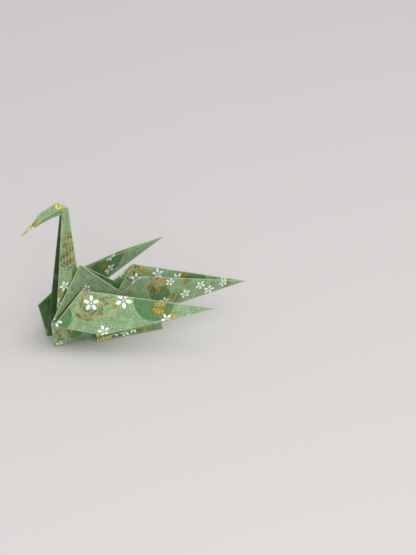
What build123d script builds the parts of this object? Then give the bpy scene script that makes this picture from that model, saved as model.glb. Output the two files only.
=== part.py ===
from build123d import *
import os

# Folded paper crane, standing on a table. Millimetres.
# +X points to the beak, +Y to the crane's left side, +Z up.
# Every corner below is measured from the foot of the back's peak, on the table.

# Paper: each flap is a few layers of one folded square, pressed together
flap_thickness = 0.5
fold_bulge = 0.03
fold_radius = flap_thickness / 2 + fold_bulge

# Back: two sloping faces that meet in one peak, the middle of the square
back_height = 32.9
shoulder_reach = 15.6
shoulder_spread = 8.6
shoulder_height = 13.0
rump_reach = 20.2
rump_spread = 6.1
rump_height = 16.5

# Belly: the walls under the back, which stand on the table
breast_reach = 13.0
breast_spread = 5.1
belly_reach = 18.0
belly_spread = 3.8
belly_height = 7.1

# Neck: a long tapering fold, its ridge to the rear and its mouth to the front
neck_height = 60.0
neck_forward = 5.1
neck_root_back = 2.3
neck_root_height = 0.9
neck_taper = 1.3
throat_share = 0.75

# Head: the neck's end, turned forward and down
crown_forward = 4.8
crown_rise = 3.1
brow_forward = 12.1
brow_drop = 0.6
beak_forward = 19.7
beak_drop = 9.4

# Tail: a wide fold with its ridge below and its mouth on top
tail_reach = 71.8
tail_height = 13.2
haunch_reach = 24.7
haunch_spread = 6.2
haunch_height = 25.4
tail_root_reach = 6.0
tail_root_height = 1.5

# Foot flaps: the rear edges of the belly, turned out on the table
heel_reach = 33.8
heel_spread = 6.0
toe_reach = 4.7
toe_spread = 7.8
flap_height = 6.4
flap_inset = 3.6

# Wings: folded over at the shoulder, swept back, then bent down along the middle.
# Folded by hand, the right wing lies a little higher than the left one.
wing_knee_reach = 1.6
wing_knee_spread = 6.2
wing_knee_height = 24.5
wing_drop_reach = 2.9
wing_drop_spread = 18.4
wing_drop_height = 9.1
wing_tip_reach = 46.8
wing_tip_spread = 31.8
wing_tip_height = 20.0
wing_lining_width = 0.62
right_wing_lift = 2.7

table = Plane.XY

# Corners on the middle plane
peak = Vector(0, 0, back_height)
neck_root = Vector(-neck_root_back, 0, neck_root_height)
nape = Vector(neck_forward, 0, neck_height)
neck_apex = neck_root + (nape - neck_root) * neck_taper
crown = nape + Vector(crown_forward, 0, crown_rise)
brow = nape + Vector(brow_forward, 0, -brow_drop)
beak = nape + Vector(beak_forward, 0, -beak_drop)
tail_root = Vector(-tail_root_reach, 0, tail_root_height)
tail_tip = Vector(-tail_reach, 0, tail_height)

# Corners on the left side
shoulder = Vector(shoulder_reach, shoulder_spread, shoulder_height)
rump = Vector(-rump_reach, rump_spread, rump_height)
breast = Vector(breast_reach, breast_spread, 0)
belly = Vector(-belly_reach, belly_spread, belly_height)
throat = breast + (neck_apex - breast) * throat_share
haunch = Vector(-haunch_reach, haunch_spread, haunch_height)
heel = Vector(-heel_reach, heel_spread, 0)
toe = Vector(-toe_reach, toe_spread, 0)
heel_hem = Vector(-heel_reach, heel_spread - flap_inset / 2, flap_height / 2)
toe_hem = Vector(-toe_reach, toe_spread - flap_inset, flap_height)
keel = Vector(breast_reach, breast_spread / 2, flap_thickness)
wing_knee = Vector(wing_knee_reach, wing_knee_spread, wing_knee_height)
wing_drop = Vector(wing_drop_reach, wing_drop_spread, wing_drop_height)
wing_tip = Vector(-wing_tip_reach, wing_tip_spread, wing_tip_height)
lift = Vector(0, 0, right_wing_lift)


def flap(*corners):
    """Adds a flat flap of paper between corners that lie in one plane."""
    first, second, third = corners[:3]
    face_plane = Plane(
        origin=first,
        x_dir=second - first,
        z_dir=(second - first).cross(third - first),
    )
    outline = [face_plane.to_local_coords(corner) for corner in corners]
    with BuildSketch(face_plane) as face:
        with BuildLine():
            Polyline(*[(point.X, point.Y) for point in outline], close=True)
        make_face()
    extrude(face.sketch, amount=flap_thickness / 2, both=True)


def fold(start, end):
    """Adds the rounded fold between two flaps that share the edge from start to end."""
    with BuildSketch(Plane(origin=start, z_dir=end - start)) as section:
        Circle(fold_radius)
    extrude(section.sketch, amount=(end - start).length)


def on_right(corner):
    """The same corner on the crane's right side."""
    return Vector(corner.X, -corner.Y, corner.Z)


def wing(shoulder, rump, knee, drop, tip, inward):
    """Adds one wing: its root, its folded front, its blade and the lining inside the blade."""
    lining = knee + (drop - knee) * wing_lining_width + inward * flap_thickness
    flap(shoulder, rump, knee)
    flap(shoulder, knee, drop)
    flap(knee, drop, tip)
    flap(knee, lining, tip)
    fold(shoulder, knee)
    fold(knee, drop)
    fold(knee, tip)


def flap_pair(*corners):
    """Adds a flap on the left side and its twin on the right."""
    flap(*corners)
    flap(*[on_right(corner) for corner in corners])


def fold_pair(start, end):
    """Adds a fold on the left side and its twin on the right."""
    fold(start, end)
    fold(on_right(start), on_right(end))


with BuildPart() as crane:
    # Back
    flap_pair(peak, shoulder, rump)
    fold_pair(peak, shoulder)
    fold_pair(peak, rump)
    # Belly
    flap_pair(shoulder, breast, rump)
    flap_pair(breast, belly, rump)
    fold_pair(shoulder, rump)
    fold_pair(breast, rump)
    # Neck and head
    flap_pair(breast, neck_root, nape, throat)
    flap_pair(nape, throat, crown)
    flap_pair(crown, throat, brow)
    flap_pair(brow, throat, beak)
    fold(neck_root, nape)
    fold(nape, crown)
    fold(crown, brow)
    fold(brow, beak)
    # Tail and the walls that hold it
    flap_pair(haunch, tail_tip, tail_root)
    flap_pair(haunch, heel, keel)
    fold(tail_root, tail_tip)
    # Foot flaps
    flap_pair(toe, heel, heel_hem)
    flap_pair(toe, heel_hem, toe_hem)
    # Wings
    wing(shoulder, rump, wing_knee, wing_drop, wing_tip, Vector(0, -1, 0))
    wing(
        on_right(shoulder),
        on_right(rump),
        on_right(wing_knee) + lift,
        on_right(wing_drop),
        on_right(wing_tip) + lift,
        Vector(0, 1, 0),
    )
    # The feet are flat where they rest
    split(bisect_by=table, keep=Keep.TOP)

# The origin is the middle of the crane's outline, on the table
outline_box = crane.part.bounding_box()
crane.part.position -= Vector(outline_box.center().X, 0, outline_box.min.Z)

os.makedirs("parts", exist_ok=True)
crane.part.label = "paper_crane"
export_step(crane.part, "parts/paper_crane.step")
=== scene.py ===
import math
import random

import bmesh
import bpy
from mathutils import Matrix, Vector


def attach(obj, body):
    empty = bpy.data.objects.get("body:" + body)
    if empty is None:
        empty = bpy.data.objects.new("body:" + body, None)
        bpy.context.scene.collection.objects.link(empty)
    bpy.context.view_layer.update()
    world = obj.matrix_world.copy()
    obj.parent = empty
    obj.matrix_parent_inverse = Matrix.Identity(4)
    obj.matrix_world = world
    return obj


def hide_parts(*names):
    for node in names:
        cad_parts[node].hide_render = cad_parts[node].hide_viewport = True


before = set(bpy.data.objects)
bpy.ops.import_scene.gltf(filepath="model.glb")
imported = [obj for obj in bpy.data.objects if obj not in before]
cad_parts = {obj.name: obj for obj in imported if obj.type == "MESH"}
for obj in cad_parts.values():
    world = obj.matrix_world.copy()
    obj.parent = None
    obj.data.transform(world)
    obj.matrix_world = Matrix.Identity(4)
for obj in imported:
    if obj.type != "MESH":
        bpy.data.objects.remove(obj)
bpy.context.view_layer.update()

mm = 0.001
left = 1
right = -1

# The folded form: corners in millimetres from the foot of the back's peak, on the left side
form = {
    "peakX": 23.5,  # where the foot of the peak stands, along the crane
    "rightWingLift": 2.7,  # folded by hand, the right wing lies a little higher
    "lifted": {"knee": 1.0, "wingTip": 1.0, "wingBrow": 1.0, "wingBelly": 0.85, "lining": 0.4,
               "backSlot": 0.6, "rump": 0.3},  # each corner's share of that lift
    "leafier": {"wingBrow": 1.1, "wingBelly": -0.9},  # the right wing is a fuller leaf
    "peak": (0, 0, 32.9),
    "shoulder": (15.6, 8.6, 13.0),
    "rump": (-20.2, 6.1, 16.5),
    "breast": (13.0, 5.1, 0.25),
    "belly": (-18.0, 3.8, 7.1),
    "neckRoot": (-2.3, 0, 0.9),
    "nape": (5.1, 0, 60.0),
    "crown": (9.9, 0, 63.1),
    "brow": (17.1, 0.25, 59.2),
    "beak": (24.8, 0, 50.6),
    "throat": (8.1, 0.95, 57.8),
    "neckThroat": (8.1, 1.28, 57.8),
    "lip": (8.7, 1.7, 60.8),
    "cheek": (15.6, 1.5, 57.45),
    "jaw": (15.6, 0.7, 55.8),
    "tailRoot": (-6.0, 0, 1.5),
    "tailTip": (-71.8, 0, 13.2),
    "haunch": (-24.7, 6.2, 26.3),
    "heel": (-33.8, 5.2, 0.25),
    "toe": (-4.7, 6.6, 0.25),
    "heelHem": (-33.8, 4.2, 3.2),
    "toeHem": (-4.7, 4.2, 6.4),
    "keel": (6.9, 3.15, 4.7),  # the tail's wall ends at the neck, here and at the keel's foot
    "keelFoot": (5.6, 2.97, 0.46),
    "knee": (1.6, 6.2, 24.5),
    "drop": (-2.9, 18.4, 9.1),
    "wingTip": (-46.8, 31.8, 20.0),
    "lining": (-1.2, 13.3, 15.0),
    "wingBrow": (-25.0, 20.3, 22.0),
    "wingBelly": (-37.1, 29.0, 17.5),
    "innerDrop": (-4.2, 17.2, 7.4),  # the wing's inner layer peeps out under its lower edge
    "wingMouth": (15.5, 9.2, 12.1),
    "wingLip": (12.8, 9.3, 14.3),  # from here up the front of the wing stands off the back
    "backSlot": (1.4, 3.9, 23.7),  # where the back's layer ends, behind the wing
}

# The paper, in millimetres. Each flap is a few layers pressed together
paper = {
    "thickness": 0.32,
    "foldRadius": 0.19,
    "foldSides": 12,
    "edgeRound": 0.06,
    "edgeSteps": 2,
    "edgeAngle": 50,  # edges sharper than this, in degrees, are rounded
    "cell": 1.3,  # how fine each flap is divided, so that it can bow
    "bowLimit": 1.6,  # the bow stops growing this far from an edge, the flap's middle being at 1
    "farSide": 400.0,  # moves the right side's fibres away from the left side's
    "away": 9.0,  # a place past a motif's print, and a distance past an edge's wear
}
offPrint = (paper["away"], paper["away"])


def cornerAt(name, side):
    x, y, z = form[name]
    if side == right:
        z += form["leafier"].get(name, 0.0)
        z += form["rightWingLift"] * form["lifted"].get(name, 0.0)
    return Vector((x + form["peakX"], y * side, z))


def chartOf(names, side):
    origin, along, across = (cornerAt(name, side) for name in names)
    uAxis = (along - origin).normalized()
    across = across - origin
    vAxis = (across - uAxis * across.dot(uAxis)).normalized()
    return origin, uAxis, vAxis


def onChart(chart, point):
    origin, uAxis, vAxis = chart
    return (point - origin).dot(uAxis), (point - origin).dot(vAxis)


motifKinds = ("blossom", "disc", "gold")
# the third gold kind is gold print with a painted glint, a painted highlight
goldKinds = ("cloud", "grid", "glint")

# Print. Each motif is (along, across, radius, turn in degrees) on its flap, in millimetres,
# and gold motifs add their kind
nearPrint = {
    "wing": {
        "blossom": [(4.6, 4.6, 3.4, 46), (17.6, 1.7, 3.5, 4), (-8.4, 14.0, 2.5, 0), (11.3, 15.3, 2.6, 30),
                    (36.2, 6.8, 2.4, 15), (44.8, 5.2, 1.6, 50)],
        "disc": [(30.0, 0.1, 8.4, 0), (-8.4, 12.0, 6.2, 0)],
        "gold": [(3.4, 6.4, 5.6, 70, "cloud"), (11.6, 5.0, 4.2, 200, "cloud"), (32.6, 2.6, 3.6, 0, "grid"),
                 (38.6, 6.4, 2.6, 60, "grid"), (1.2, 0.6, 1.6, 20, "grid"), (-1.0, 17.6, 2.2, 0, "grid")],
    },
    "back": {
        "blossom": [(19.4, 6.9, 1.9, 20), (1.6, 1.7, 2.2, 10)],
        "disc": [],
        "gold": [(18.6, 7.6, 1.4, 0, "cloud")],
    },
    "neck": {
        "blossom": [(33.5, 7.4, 2.4, 30), (39.5, 12.0, 2.4, 0)],
        "disc": [(30.5, -1.5, 4.7, 0), (56.0, 6.0, 6.0, 0)],
        "gold": [(21.8, 3.4, 4.6, 82, "grid"), (14.4, 2.4, 3.4, 95, "grid"), (36.8, 9.4, 3.2, 10, "grid"),
                 (43.5, 13.0, 2.0, 40, "grid")],
    },
    "head": {
        "blossom": [],
        "disc": [],
        "gold": [(11.8, 0.4, 2.4, 20, "grid"), (15.2, 1.2, 2.6, 60, "glint"), (18.8, 0.6, 2.6, 110, "grid"),
                 (0.2, 1.2, 1.6, 30, "glint"), (-0.6, 3.6, 1.8, 80, "glint")],
    },
    "breast": {
        "blossom": [(13.2, 2.0, 1.9, 12), (0.1, 2.0, 2.3, 20)],
        # this small disc darkens the belly under the wing: a painted shadow
        "disc": [(10.8, 9.8, 2.7, 0)],
        "gold": [(8.6, 3.6, 3.6, 200, "cloud")],
    },
    "tail": {
        "blossom": [(40.3, 4.6, 2.4, 20), (50.8, 2.2, 2.4, 0), (47.3, 6.4, 2.3, 45), (31.0, 4.4, 2.2, 10),
                    (57.3, 3.1, 1.9, 30), (34.3, 14.0, 2.1, 60), (20.0, 8.0, 2.6, 10)],
        "disc": [(28.2, 8.2, 5.6, 0), (10.0, 6.0, 6.0, 0)],
        "gold": [(28.4, 15.4, 5.2, 130, "grid"), (35.6, 4.0, 3.0, 60, "grid"), (58.5, 2.6, 1.8, 20, "grid"),
                 (42.0, 11.4, 1.8, 0, "grid")],
    },
    "wall": {
        "blossom": [],
        "disc": [],
        "gold": [(21.5, 10.6, 3.4, 40, "grid")],
    },
    "foot": {
        "blossom": [(8.2, 2.6, 2.2, 0), (12.4, 1.6, 2.2, 35), (16.2, 2.2, 2.0, 15)],
        "disc": [(6.0, 2.0, 7.5, 0), (19.5, 2.0, 6.6, 0)],
        "gold": [(3.0, 1.8, 3.6, 15, "glint"), (20.2, 1.2, 2.8, 70, "grid"), (26.0, 1.0, 2.4, 10, "grid")],
    },
    "lining": {
        "blossom": [(17.0, 17.0, 2.2, 0), (26.0, 13.6, 1.6, 0)],
        "disc": [(14.0, 17.0, 6.0, 0)],
        "gold": [(10.0, 18.0, 2.6, 0, "grid")],
    },
}
farPrint = {
    "wing": {
        "blossom": [(23.8, -0.2, 2.7, 0), (24.9, 7.9, 2.9, 25), (6.0, 9.0, 3.0, 10)],
        "disc": [(20.9, 2.6, 8.6, 0), (-8.0, 11.0, 9.0, 0)],
        "gold": [(14.0, 0.6, 2.8, 0, "grid"), (21.7, 5.8, 2.6, 30, "grid"), (45.1, 6.6, 1.3, 30, "grid")],
    },
    "lining": {
        "blossom": [(23.4, -0.2, 2.7, 0), (26.0, 7.4, 2.9, 25)],
        "disc": [(22.9, 2.6, 9.0, 0)],
        "gold": [(14.0, 0.6, 2.8, 0, "grid"), (21.7, 5.8, 2.6, 30, "grid"), (45.1, 6.6, 1.3, 30, "grid")],
    },
    "back": {
        "blossom": [(13.0, 11.0, 2.6, 0)],
        # this disc darkens the far flap's inside, in the neck's shadow: print used as painted shade
        "disc": [(2.0, 3.0, 9.0, 0)],
        "gold": [],
    },
    "neck": {
        "blossom": [(44.0, 14.5, 1.6, 0)],
        # these dark discs are print that also stands in for painted shade inside the neck
        "disc": [(22.0, 4.0, 9.5, 0), (40.0, 12.0, 8.0, 0)],
        "gold": [(12.5, 2.6, 2.6, 60, "grid"), (25.5, 5.6, 2.2, 30, "grid")],
    },
    "breast": {
        "blossom": [(-1.6, 3.4, 1.5, 12), (11.0, 20.0, 3.0, 0)],
        "disc": [(2.0, 4.0, 9.0, 0), (4.0, 24.0, 6.0, 0)],
        "gold": [(14.0, 14.0, 4.0, 40, "cloud")],
    },
    "tail": {
        "blossom": [(32.0, 14.6, 2.5, 10), (39.6, 10.2, 2.4, 40), (22.6, 15.4, 2.7, 0), (57.7, 3.0, 1.9, 20),
                    (49.0, 4.0, 2.2, 0)],
        "disc": [(45.8, 8.2, 5.6, 0)],
        "gold": [(23.6, 18.8, 4.4, 130, "grid"), (42.5, 11.0, 2.6, 50, "grid"), (53.0, 3.8, 2.2, 10, "grid")],
    },
    "wall": {
        "blossom": [(26.5, 6.2, 1.7, 20)],
        "disc": [(16.0, 12.0, 9.5, 0)],
        "gold": [],
    },
}
# Where the print isn't chosen motif by motif, it is scattered as loosely as on the other flaps
scatter = {
    "seed": 7,
    "reach": 70.0,
    "stray": 0.28,  # how far a motif may leave its place in a row, as a share of the spacing
    "rowPitch": 0.87,  # from row to row, as a share of the spacing
    "blossom": (11.5, 2.2, 3.4),  # spacing, smallest and largest radius
    "disc": (26.0, 5.5, 8.0),
    "gold": (19.0, 2.6, 5.6),
}


def scatterMotifs(dice, kind):
    spacing, smallest, largest = scatter[kind]
    stray = scatter["stray"]
    steps = math.ceil(scatter["reach"] / spacing)
    motifs = []
    for row in range(-steps, steps + 1):
        for column in range(-steps, steps + 1):
            along = (column + 0.5 * (row % 2) + dice.uniform(-stray, stray)) * spacing
            across = (row + dice.uniform(-stray, stray)) * spacing * scatter["rowPitch"]
            motif = (along, across, dice.uniform(smallest, largest), dice.uniform(0, 360))
            if kind == "gold":
                motif += (dice.choice(goldKinds),)
            motifs.append(motif)
    return motifs


scattered = {}


def printOn(flap, side):
    chosen = (nearPrint if side == left else farPrint).get(flap["print"])
    if chosen:
        return chosen
    key = (flap["print"], side)
    if key not in scattered:
        dice = random.Random(f"{scatter['seed']} {key}")
        scattered[key] = {kind: scatterMotifs(dice, kind) for kind in motifKinds}
    return scattered[key]


# Flaps. worn numbers the edges that show wear, from 0 for the first corner's edge to the second;
# bow is how far the middle stands out, in millimetres, and shade is painted shade that darkens the left one
# of the pair
wingChart = ("knee", "wingTip", "drop")
headChart = ("crown", "beak", "neckThroat")
flaps = [
    {"corners": ("peak", "shoulder", "backSlot"), "chart": ("shoulder", "peak", "rump"), "print": "back",
     "worn": (0,), "bow": 0.15, "shade": 0.62},
    {"corners": ("peak", "backSlot", "rump"), "chart": ("shoulder", "peak", "rump"), "print": "back",
     "worn": (2,), "bow": 0.2, "shade": 0.75},
    # closes the body behind the wing; its painted shade makes the slot there look dark
    {"corners": ("shoulder", "backSlot", "rump"), "chart": ("shoulder", "peak", "rump"), "print": "back",
     "worn": (), "bow": 0.0, "shade": 1.4},
    {"corners": ("shoulder", "breast", "rump"), "chart": ("shoulder", "breast", "rump"), "print": "breast",
     "worn": (0,), "bow": 0.2},
    {"corners": ("breast", "belly", "rump"), "chart": ("shoulder", "breast", "rump"), "print": "breast",
     "worn": (0,), "bow": 0.1},
    {"corners": ("breast", "neckRoot", "nape", "neckThroat"), "chart": ("nape", "neckRoot", "breast"),
     "print": "neck", "worn": (1, 3), "bow": 0.18, "shade": 0.14},
    {"corners": ("nape", "lip", "crown"), "chart": headChart, "print": "head", "worn": (2,), "bow": 0.0,
     "shade": 0.08},
    {"corners": ("crown", "lip", "cheek", "brow"), "chart": headChart, "print": "head", "worn": (1, 3),
     "bow": 0.08, "shade": 0.08},
    {"corners": ("brow", "cheek", "beak"), "chart": headChart, "print": "head", "worn": (1, 2), "bow": 0.0},
    {"corners": ("nape", "throat", "crown"), "chart": headChart, "print": "head", "worn": (0,), "bow": 0.0,
     "shade": 0.25},
    {"corners": ("crown", "throat", "jaw", "beak"), "chart": headChart, "print": "head", "worn": (1, 2),
     "bow": 0.0, "shade": 0.25},
    {"corners": ("haunch", "tailTip", "tailRoot"), "chart": ("tailRoot", "tailTip", "haunch"),
     "print": "tail", "worn": (0, 1), "bow": 0.35},
    {"corners": ("haunch", "heel", "keelFoot", "keel"), "chart": ("heel", "haunch", "keel"), "print": "wall",
     "worn": (0, 3), "bow": 0.15, "shade": 0.45},
    {"corners": ("toe", "heel", "heelHem"), "chart": ("toe", "heel", "toeHem"), "print": "foot",
     "worn": (0, 1), "bow": 0.0},
    {"corners": ("toe", "heelHem", "toeHem"), "chart": ("toe", "heel", "toeHem"), "print": "foot",
     "worn": (1, 2), "bow": 0.1},
    {"corners": ("wingLip", "rump", "knee"), "chart": wingChart, "print": "root", "worn": (), "bow": 0.0,
     "shade": 1.3},
    {"corners": ("wingMouth", "wingLip", "knee", "drop"), "chart": wingChart, "print": "wing", "worn": (1, 3),
     "bow": 0.2, "shade": 0.12},
    {"corners": ("knee", "drop", "wingBrow"), "chart": wingChart, "print": "wing", "worn": (2,), "bow": 0.35},
    {"corners": ("wingBrow", "drop", "wingBelly", "wingTip"), "chart": wingChart, "print": "wing",
     "worn": (1, 2, 3), "bow": 0.25},
    {"corners": ("knee", "innerDrop", "wingTip"), "chart": wingChart, "print": "lining", "worn": (1, 2),
     "bow": 0.1, "shade": 0.2},
    {"corners": ("knee", "lining", "wingTip"), "chart": wingChart, "print": "lining", "worn": (1, 2),
     "bow": -0.2},
]
# Rounded folds between two flaps: start, end, and whether the fold is on the middle plane
folds = [
    ("peak", "shoulder", False), ("peak", "rump", False), ("shoulder", "breast", False),
    ("wingMouth", "wingLip", False), ("wingLip", "knee", False), ("knee", "wingBrow", False),
    ("wingBrow", "wingTip", False),
    ("neckRoot", "nape", True), ("nape", "crown", True), ("crown", "brow", True), ("brow", "beak", True),
    ("tailRoot", "tailTip", True),
]


def nearestMotif(motifs, here):
    if not motifs:
        return None
    return min(motifs, key=lambda motif: math.hypot(here[0] - motif[0], here[1] - motif[1]) / motif[2])


def motifMap(motif, here):
    if motif is None:
        return offPrint
    along, across, radius, turn = motif[:4]
    du = (here[0] - along) / radius
    dv = (here[1] - across) / radius
    angle = math.radians(turn)
    return du * math.cos(angle) + dv * math.sin(angle), dv * math.cos(angle) - du * math.sin(angle)


def fromEdge(point, start, end):
    along = (end - start).normalized()
    return ((point - start) - along * (point - start).dot(along)).length


def edgeDistances(corners, worn, point):
    distances = [paper["away"]] * 4
    for index in worn:
        distances[index] = fromEdge(point, corners[index], corners[(index + 1) % len(corners)])
    return distances


def bowOf(corners, point, amount):
    if not amount:
        return 0.0
    rise = amount
    middle = sum(corners, Vector()) / len(corners)
    for index, start in enumerate(corners):
        end = corners[(index + 1) % len(corners)]
        rise *= min(fromEdge(point, start, end) / fromEdge(middle, start, end), paper["bowLimit"])
    return rise


def paintLayers(bm):
    layers = {name: bm.loops.layers.uv.new(name) for name in ("paper",) + motifKinds}
    layers["edges"] = bm.loops.layers.float_color.new("edges")
    layers["goldKind"] = bm.faces.layers.float.new("goldKind")
    layers["shade"] = bm.faces.layers.float.new("shade")
    return layers


def finishMesh(bm, name):
    for vert in bm.verts:
        vert.co *= mm
    mesh = bpy.data.meshes.new(name)
    bm.to_mesh(mesh)
    bm.free()
    return mesh


def flapMesh(flap, side):
    corners = [cornerAt(name, side) for name in flap["corners"]]
    chart = chartOf(flap["chart"], side)
    motifs = printOn(flap, side)
    bm = bmesh.new()
    bm.faces.new([bm.verts.new(corner) for corner in corners])
    longest = max(edge.calc_length() for edge in bm.edges)
    cuts = math.ceil(longest / paper["cell"])
    bmesh.ops.subdivide_edges(bm, edges=bm.edges[:], cuts=cuts, use_grid_fill=True)
    bm.normal_update()
    layers = paintLayers(bm)
    for face in bm.faces:
        face.smooth = True
        face[layers["shade"]] = flap.get("shade", 0.0) if side == left else 0.0
        middle = onChart(chart, face.calc_center_median())
        nearest = {kind: nearestMotif(motifs[kind], middle) for kind in motifKinds}
        gold = nearest["gold"]
        face[layers["goldKind"]] = goldKinds.index(gold[4]) if gold else 0.0
        for loop in face.loops:
            here = onChart(chart, loop.vert.co)
            loop[layers["paper"]].uv = (here[0] + (paper["farSide"] if side == right else 0), here[1])
            for kind, motif in nearest.items():
                loop[layers[kind]].uv = motifMap(motif, here)
            loop[layers["edges"]] = edgeDistances(corners, flap["worn"], loop.vert.co)
    outwards = (corners[1] - corners[0]).cross(corners[2] - corners[0]).normalized()
    if outwards.y * side < 0:
        outwards = -outwards
    for vert in bm.verts:
        vert.co += outwards * bowOf(corners, vert.co, flap["bow"])
    return finishMesh(bm, "flap")


def foldMesh(start, end, side):
    first = cornerAt(start, side)
    last = cornerAt(end, side)
    bm = bmesh.new()
    bmesh.ops.create_cone(bm, cap_ends=True, segments=paper["foldSides"], radius1=paper["foldRadius"],
                          radius2=paper["foldRadius"], depth=(last - first).length)
    turn = (last - first).to_track_quat("Z", "Y").to_matrix()
    bmesh.ops.rotate(bm, verts=bm.verts, matrix=turn)
    bmesh.ops.translate(bm, verts=bm.verts, vec=(first + last) / 2)
    layers = paintLayers(bm)
    for face in bm.faces:
        face.smooth = len(face.verts) == 4
        for loop in face.loops:
            loop[layers["paper"]].uv = (loop.vert.co.x, loop.vert.co.z)
            for kind in motifKinds:
                loop[layers[kind]].uv = offPrint
            loop[layers["edges"]] = (0.0, paper["away"], paper["away"], paper["away"])
    return finishMesh(bm, "fold")


def putInScene(name, data):
    made = bpy.data.objects.new(name, data)
    bpy.context.scene.collection.objects.link(made)
    return made


def joinMeshes(name, meshes):
    bm = bmesh.new()
    for mesh in meshes:
        bm.from_mesh(mesh)
        bpy.data.meshes.remove(mesh)
    joined = bpy.data.meshes.new(name)
    bm.to_mesh(joined)
    bm.free()
    return putInScene(name, joined)


def thickenPaper(plates):
    solid = plates.modifiers.new("thickness", "SOLIDIFY")
    solid.thickness = paper["thickness"] * mm
    solid.offset = 0
    solid.use_even_offset = False
    bevel = plates.modifiers.new("rounding", "BEVEL")
    bevel.width = paper["edgeRound"] * mm
    bevel.segments = paper["edgeSteps"]
    bevel.limit_method = "ANGLE"
    bevel.angle_limit = math.radians(paper["edgeAngle"])
    graph = bpy.context.evaluated_depsgraph_get()
    walls = bpy.data.meshes.new_from_object(plates.evaluated_get(graph))
    bpy.data.objects.remove(plates)
    return walls


# Inner faces that get less light than the rest are given painted shade; places are in millimetres from the
# foot of the peak.
# lean draws the front limit back with height, and facing is how far a face has to be turned
# towards the middle plane, from 0 to 1
insides = {
    "neck": {"shade": 1.15, "rear": 3.0, "front": 15.0, "lean": 0.1, "height": 60.0, "spread": 5.2,
             "facing": 0.3},
    "farShoulder": {"shade": 0.7, "rear": 6.0, "height": 16.0, "spread": 5.2, "facing": 0.3},
}


# marks painted shade on the inner faces of the neck and of the far shoulder
def shadeInsides(mesh):
    neck = insides["neck"]
    shoulder = insides["farShoulder"]
    for polygon, mark in zip(mesh.polygons, mesh.attributes["shade"].data):
        x, y, z = polygon.center / mm
        x -= form["peakX"]
        facing = polygon.normal.y
        inNeck = -neck["rear"] < x < neck["front"] - neck["lean"] * z and z < neck["height"]
        if inNeck and abs(y) < neck["spread"] and facing * y < -neck["facing"] * abs(y):
            mark.value = neck["shade"]
        atShoulder = x > shoulder["rear"] and y < -shoulder["spread"] and z < shoulder["height"]
        if atShoulder and facing > shoulder["facing"]:
            mark.value = shoulder["shade"]


def makeCrane():
    plates = joinMeshes("plates", [flapMesh(flap, side) for flap in flaps for side in (left, right)])
    walls = thickenPaper(plates)
    shadeInsides(walls)
    rods = []
    for start, end, onMiddle in folds:
        rods.append(foldMesh(start, end, left))
        if not onMiddle:
            rods.append(foldMesh(start, end, right))
    return joinMeshes("folded_crane", [walls] + rods)


class Wire:
    def __init__(self, shop, socket):
        self.shop = shop
        self.socket = socket

    def __add__(self, other):
        return self.shop.math("ADD", self, other)

    def __radd__(self, other):
        return self.shop.math("ADD", other, self)

    def __sub__(self, other):
        return self.shop.math("SUBTRACT", self, other)

    def __rsub__(self, other):
        return self.shop.math("SUBTRACT", other, self)

    def __mul__(self, other):
        return self.shop.math("MULTIPLY", self, other)

    def __rmul__(self, other):
        return self.shop.math("MULTIPLY", other, self)

    def __truediv__(self, other):
        return self.shop.math("DIVIDE", self, other)

    def __abs__(self):
        return self.shop.math("ABSOLUTE", self)

    def __mod__(self, other):
        return self.shop.math("FLOORED_MODULO", self, other)


class PaintShop:
    def __init__(self, name):
        self.material = bpy.data.materials.new(name)
        self.material.use_nodes = True
        self.tree = self.material.node_tree
        self.tree.nodes.clear()

    def node(self, kind, settings, sockets):
        made = self.tree.nodes.new(kind)
        for name, value in settings.items():
            setattr(made, name, value)
        for name, value in sockets.items():
            if isinstance(value, Wire):
                self.tree.links.new(value.socket, made.inputs[name])
            else:
                made.inputs[name].default_value = value
        return made

    def wire(self, made, output=0):
        return Wire(self, made.outputs[output])

    def math(self, operation, *values, clamp=False):
        settings = {"operation": operation, "use_clamp": clamp}
        return self.wire(self.node("ShaderNodeMath", settings, dict(enumerate(values))))

    def mathChain(self, operation, first, *others):
        for other in others:
            first = self.math(operation, first, other)
        return first

    def clamped(self, value):
        return self.math("ADD", value, 0.0, clamp=True)

    def length(self, across, up):
        return self.math("SQRT", across * across + up * up)

    def below(self, value, limit, soft):
        return self.math("ADD", (limit - value) * (1 / soft), 0.5, clamp=True)

    def stripes(self, value, half, soft):  # one stripe in the middle of each unit
        return self.below(abs(value % 1.0 - 0.5), half, soft)

    def mix(self, factor, first, second):  # the node's colours are inputs 6 and 7 and output 2
        settings = {"data_type": "RGBA"}
        return self.wire(self.node("ShaderNodeMix", settings, {0: factor, 6: first, 7: second}), 2)

    def uv(self, name):
        return self.wire(self.node("ShaderNodeUVMap", {"uv_map": name}, {}))

    def attribute(self, name):
        return self.node("ShaderNodeAttribute", {"attribute_name": name}, {})

    def parts(self, vector):
        split = self.node("ShaderNodeSeparateXYZ", {}, {"Vector": vector})
        return self.wire(split, "X"), self.wire(split, "Y")

    def noise(self, vector, scale, detail, rough):
        settings = {"noise_dimensions": "2D"}
        sockets = {"Vector": vector, "Scale": scale, "Detail": detail, "Roughness": rough}
        return self.wire(self.node("ShaderNodeTexNoise", settings, sockets))


def colour(red, green, blue):
    def linear(value):  # a colour picker's value as the amount of light that it stands for
        return value / 12.92 if value <= 0.04045 else ((value + 0.055) / 1.055) ** 2.4
    return linear(red), linear(green), linear(blue), 1.0


# Blossoms, in shares of a motif's radius. Pairs are half a width and how soft its edge is
blossomInk = {
    "petals": 5,
    "petalAt": 0.61,
    "petalLong": 0.36,
    "petalWide": 0.215,
    "petalEdge": (1.0, 0.16),  # from here on in shares of the petal, but for the heart
    "heart": (0.10, 0.05),
    "veinAt": -0.3,
    "veinLong": (0.6, 0.2),
    "veinWide": (0.12, 0.12),
    "veinTone": 0.25,
}


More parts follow.
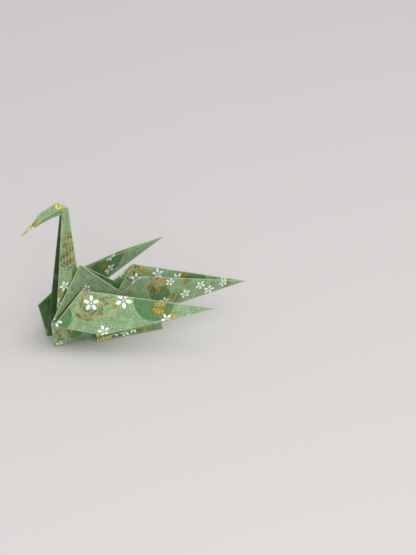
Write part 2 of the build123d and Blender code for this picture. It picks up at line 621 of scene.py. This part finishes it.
def blossomMask(shop):
    ink = blossomInk
    across, up = shop.parts(shop.uv("blossom"))
    radius = shop.length(across, up)
    step = 2 * math.pi / ink["petals"]
    angle = (shop.math("ARCTAN2", up, across) + step / 2) % step - step / 2
    along = (radius * shop.math("COSINE", angle) - ink["petalAt"]) / ink["petalLong"]
    wide = radius * shop.math("SINE", angle) / ink["petalWide"]
    petal = shop.below(shop.length(along, wide), *ink["petalEdge"])
    heart = shop.below(radius, *ink["heart"])
    vein = shop.below(abs(wide), *ink["veinWide"]) * shop.below(abs(along - ink["veinAt"]), *ink["veinLong"])
    return shop.math("MAXIMUM", petal, heart), vein * ink["veinTone"]


# Gold, in shares of a motif's radius and in radians. Pairs are half a width and how soft its edge is
goldInk = {
    "stray": (1.3, 2.0, 0.5),  # the noise that bends the lines: scale, detail, roughness
    "strayRadius": 0.34,
    "strayAngle": 1.6,
    "strayAcross": 0.16,
    "strayUp": 0.12,
    # clouds: rings of thick short dashes, each ring broken off somewhere else. dashes counts them in a
    # radian, arc is half the stretch that is printed, and twin moves it that far to each side of arcAt
    "rings": [
        {"at": 0.94, "line": (0.105, 0.05), "dashes": 2.23, "dash": (0.37, 0.1),
         "arcAt": -0.5, "arc": (1.9, 0.1)},
        {"at": 0.63, "line": (0.10, 0.05), "dashes": 1.59, "dash": (0.36, 0.1),
         "arcAt": 1.2, "twin": 1.5, "arc": (0.85, 0.1)},
        {"at": 0.30, "line": (0.09, 0.05), "arcAt": 0.8, "arc": (1.3, 0.2)},
    ],
    # grids: rows of short slanting strokes between bars, counted along a radius
    "bars": 1.22,
    "bar": (0.10, 0.06),
    "barReach": (0.92, 0.06),
    "barPieces": 2.3,
    "barPiece": (0.43, 0.08),
    "strokes": 2.9,
    "strokeSlant": 0.25,
    "stroke": (0.27, 0.14),
    "strokeRows": 2.44,
    "strokeRow": (0.26, 0.1),
    "gridReach": (1.08, 0.06),
}


def cloudRing(shop, ring, radius, angle):
    line = shop.below(abs(radius - ring["at"]), *ring["line"])
    if "dashes" in ring:
        line = line * shop.stripes(angle * ring["dashes"], *ring["dash"])
    arc = abs(angle - ring["arcAt"])
    if "twin" in ring:
        arc = abs(arc - ring["twin"])
    return line * shop.below(arc, *ring["arc"])


def gridLines(shop, across, up, radius):
    ink = goldInk
    bars = shop.stripes(up * ink["bars"], *ink["bar"]) * shop.below(abs(across), *ink["barReach"])
    bars = bars * shop.stripes(across * ink["barPieces"] + up, *ink["barPiece"])
    strokes = shop.stripes((across + up * ink["strokeSlant"]) * ink["strokes"], *ink["stroke"])
    strokes = strokes * shop.stripes(up * ink["strokeRows"], *ink["strokeRow"])
    return shop.math("MAXIMUM", bars, strokes) * shop.below(radius, *ink["gridReach"])


def goldMask(shop, inked):
    ink = goldInk
    spot = shop.uv("gold")
    across, up = shop.parts(spot)
    stray = shop.noise(spot, *ink["stray"]) - 0.5
    radius = shop.length(across, up) + stray * ink["strayRadius"]
    angle = shop.math("ARCTAN2", up, across) + stray * ink["strayAngle"]
    clouds = shop.mathChain("MAXIMUM", *[cloudRing(shop, ring, radius, angle) for ring in ink["rings"]])
    grids = gridLines(shop, across + stray * ink["strayAcross"], up + stray * ink["strayUp"], radius)
    kind = shop.wire(shop.attribute("goldKind"), "Fac")
    isGrid = shop.clamped(kind)
    glint = shop.clamped(kind - 1)
    return (clouds * (1 - isGrid) + grids * isGrid) * inked, glint


# The printed paper. Noises are (scale, detail, roughness) and run around 0.5
washi = {
    "green": colour(0.455, 0.58, 0.40),
    "paleGreen": colour(0.645, 0.745, 0.58),
    "disc": colour(0.315, 0.495, 0.285),
    "white": colour(0.97, 0.975, 0.96),
    "vein": colour(0.70, 0.76, 0.66),
    "gold": colour(0.79, 0.63, 0.26),
    "brownGold": colour(0.50, 0.39, 0.16),
    # painted highlight: gold as it glints in the light, used on the third gold kind
    "glintingGold": colour(0.98, 0.86, 0.42),
    "worn": colour(0.78, 0.84, 0.68),
    # painted shade: the tone that shaded faces are darkened towards
    "paintedShade": colour(0.12, 0.21, 0.03),  # the tone deep in a fold, where no light comes
    "roughness": 0.82,
    "goldRoughness": 0.38,
    "goldMetal": 0.65,
    "gloss": 0.3,
    "mottle": (0.35, 5.0, 0.62),
    "fibre": (1.7, 5.0, 0.75),
    "strands": (5.5, 2.0, 0.6),
    "strandTurn": 0.5,
    "strandStretch": 0.35,
    "ink": (2.2, 4.0, 0.7),
    "tarnish": (0.16, 2.0, 0.5),
    "tarnished": (0.52, 0.12),  # the share of the gold that is brown, and how soft the change is
    "mottleTone": 2.4,
    "fibreTone": 5.6,
    "strandTone": 1.6,
    "paleShare": 0.45,
    "discEdge": (1.0, 0.05),
    "discStray": 0.05,
    "discTone": 0.84,
    "discMottle": 0.9,
    "inkGaps": 0.30,  # where the ink's noise is below this, the gold is rubbed off
    "inkHardness": 8,
    "wear": (0.36, 0.25),  # how far from an edge the wear goes, and how softly it ends
    "wearStray": 0.35,
    "wearTone": 0.5,
    "shadeTone": 0.6,
    "relief": {"fibre": 0.5, "strands": 0.5, "mottle": 0.6, "gold": 0.25},
    "reliefStrength": 0.5,
    "reliefDepth": 0.0001,  # in metres
}


def wornEdges(shop, ink):
    edge = shop.attribute("edges")
    split = shop.node("ShaderNodeSeparateColor", {}, {"Color": shop.wire(edge, "Color")})
    distances = [shop.wire(split, name) for name in ("Red", "Green", "Blue")] + [shop.wire(edge, "Alpha")]
    nearEdge = shop.mathChain("MINIMUM", *distances)
    return shop.below(nearEdge + ink * washi["wearStray"], *washi["wear"])


def discMask(shop, mottle):
    across, up = shop.parts(shop.uv("disc"))
    radius = shop.length(across, up) + (mottle - 0.5) * washi["discStray"]
    tone = washi["discTone"] + (mottle - 0.5) * washi["discMottle"]
    return shop.clamped(shop.below(radius, *washi["discEdge"]) * tone)


def makeWashi():
    shop = PaintShop("patterned_washi")
    sheet = shop.uv("paper")
    turn = (0, 0, washi["strandTurn"])
    stretch = (washi["strandStretch"], 1.0, 1.0)
    stretched = shop.node("ShaderNodeMapping", {}, {"Vector": sheet, "Rotation": turn, "Scale": stretch})
    mottle = shop.noise(sheet, *washi["mottle"])
    fibre = shop.noise(sheet, *washi["fibre"])
    strands = shop.noise(shop.wire(stretched), *washi["strands"])
    ink = shop.noise(sheet, *washi["ink"])

    tone = (mottle - 0.5) * washi["mottleTone"] + (fibre - 0.5) * washi["fibreTone"]
    tone = shop.clamped(tone + (strands - 0.5) * washi["strandTone"] + washi["paleShare"])
    base = shop.mix(tone, washi["green"], washi["paleGreen"])
    base = shop.mix(discMask(shop, mottle), base, washi["disc"])
    gold, glint = goldMask(shop, shop.clamped((ink - washi["inkGaps"]) * washi["inkHardness"]))
    tarnish = shop.below(shop.noise(sheet, *washi["tarnish"]), *washi["tarnished"])
    leaf = shop.mix(tarnish, washi["gold"], washi["brownGold"])
    # gold of the third kind is painted glinting: gold print with a painted highlight
    base = shop.mix(gold, base, shop.mix(glint, leaf, washi["glintingGold"]))
    blossom, vein = blossomMask(shop)
    base = shop.mix(blossom, base, shop.mix(vein, washi["white"], washi["vein"]))
    base = shop.mix(wornEdges(shop, ink) * washi["wearTone"], base, washi["worn"])
    # painted shade: faces with a shade mark are darkened towards the shade tone
    shade = shop.wire(shop.attribute("shade"), "Fac")
    base = shop.mix(shade * washi["shadeTone"], base, washi["paintedShade"])

    bare = (1 - blossom) * gold
    relief = washi["relief"]
    height = fibre * relief["fibre"] + strands * relief["strands"]
    height = height + mottle * relief["mottle"] + gold * relief["gold"]
    bump = shop.node("ShaderNodeBump", {}, {
        "Strength": washi["reliefStrength"],
        "Distance": washi["reliefDepth"],
        "Height": height,
    })
    surface = shop.node("ShaderNodeBsdfPrincipled", {}, {
        "Base Color": base,
        "Roughness": washi["roughness"] - bare * (washi["roughness"] - washi["goldRoughness"]),
        "Metallic": bare * washi["goldMetal"],
        "Specular IOR Level": washi["gloss"],
        "Normal": shop.wire(bump),
    })
    shop.node("ShaderNodeOutputMaterial", {}, {"Surface": shop.wire(surface)})
    return shop.material


# The camera's places are in millimetres, and the floor's and the lights' in metres
studio = {
    "aim": (-24.8, 20.0, 28.4),
    "towardsCamera": (0.305, 0.837, 0.454),
    "distance": 2500.0,
    "view": 227.0,  # what the long side of the picture takes in
    "sensor": 36,
    "nearest": 0.01,  # in metres
    "floorColour": colour(0.86, 0.845, 0.835),
    "floorRoughness": 0.9,
    "floorSize": 8.0,
    "air": colour(0.93, 0.93, 0.94),
    "airStrength": 0.62,
    "lightsAim": (0, 0, 0.02),
    "lights": {
        "key": {"at": (-0.22, 0.30, 0.85), "size": 1.5, "power": 5.5},
        "fill": {"at": (0.26, 0.97, 0.40), "size": 0.6, "power": 2.9},
    },
}


def pointAlong(made, direction):
    made.rotation_mode = "QUATERNION"
    made.rotation_quaternion = direction.to_track_quat("-Z", "Y")


def makeCamera():
    back = Vector(studio["towardsCamera"]).normalized()
    data = bpy.data.cameras.new("camera")
    data.sensor_width = studio["sensor"]
    data.lens = data.sensor_width * studio["distance"] / studio["view"]
    data.clip_start = studio["nearest"]
    camera = putInScene("camera", data)
    camera.location = Vector(studio["aim"]) * mm + back * studio["distance"] * mm
    pointAlong(camera, -back)
    bpy.context.scene.camera = camera


def makeFloor():
    bm = bmesh.new()
    bmesh.ops.create_grid(bm, x_segments=2, y_segments=2, size=studio["floorSize"] / 2)
    mesh = bpy.data.meshes.new("floor")
    bm.to_mesh(mesh)
    bm.free()
    floor = putInScene("floor", mesh)
    shop = PaintShop("pale_floor")
    surface = shop.node("ShaderNodeBsdfPrincipled", {}, {
        "Base Color": studio["floorColour"],
        "Roughness": studio["floorRoughness"],
    })
    shop.node("ShaderNodeOutputMaterial", {}, {"Surface": shop.wire(surface)})
    floor.data.materials.append(shop.material)


def makeLight(name, light):
    data = bpy.data.lights.new(name, "AREA")
    data.shape = "DISK"
    data.size = light["size"]
    data.energy = light["power"]
    lamp = putInScene(name, data)
    lamp.location = light["at"]
    pointAlong(lamp, Vector(studio["lightsAim"]) - Vector(light["at"]))


def makeAir():
    world = bpy.data.worlds.new("air")
    world.use_nodes = True
    background = world.node_tree.nodes["Background"]
    background.inputs["Color"].default_value = studio["air"]
    background.inputs["Strength"].default_value = studio["airStrength"]
    bpy.context.scene.world = world


makeCamera()
makeFloor()
makeAir()
for name, light in studio["lights"].items():
    makeLight(name, light)
bpy.context.scene.view_settings.view_transform = "Standard"
print("studio ready")

crane = makeCrane()
print("crane folded:", len(crane.data.polygons), "faces")

crane.data.materials.append(makeWashi())
print("paper printed")

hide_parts("paper_crane")
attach(crane, "root")
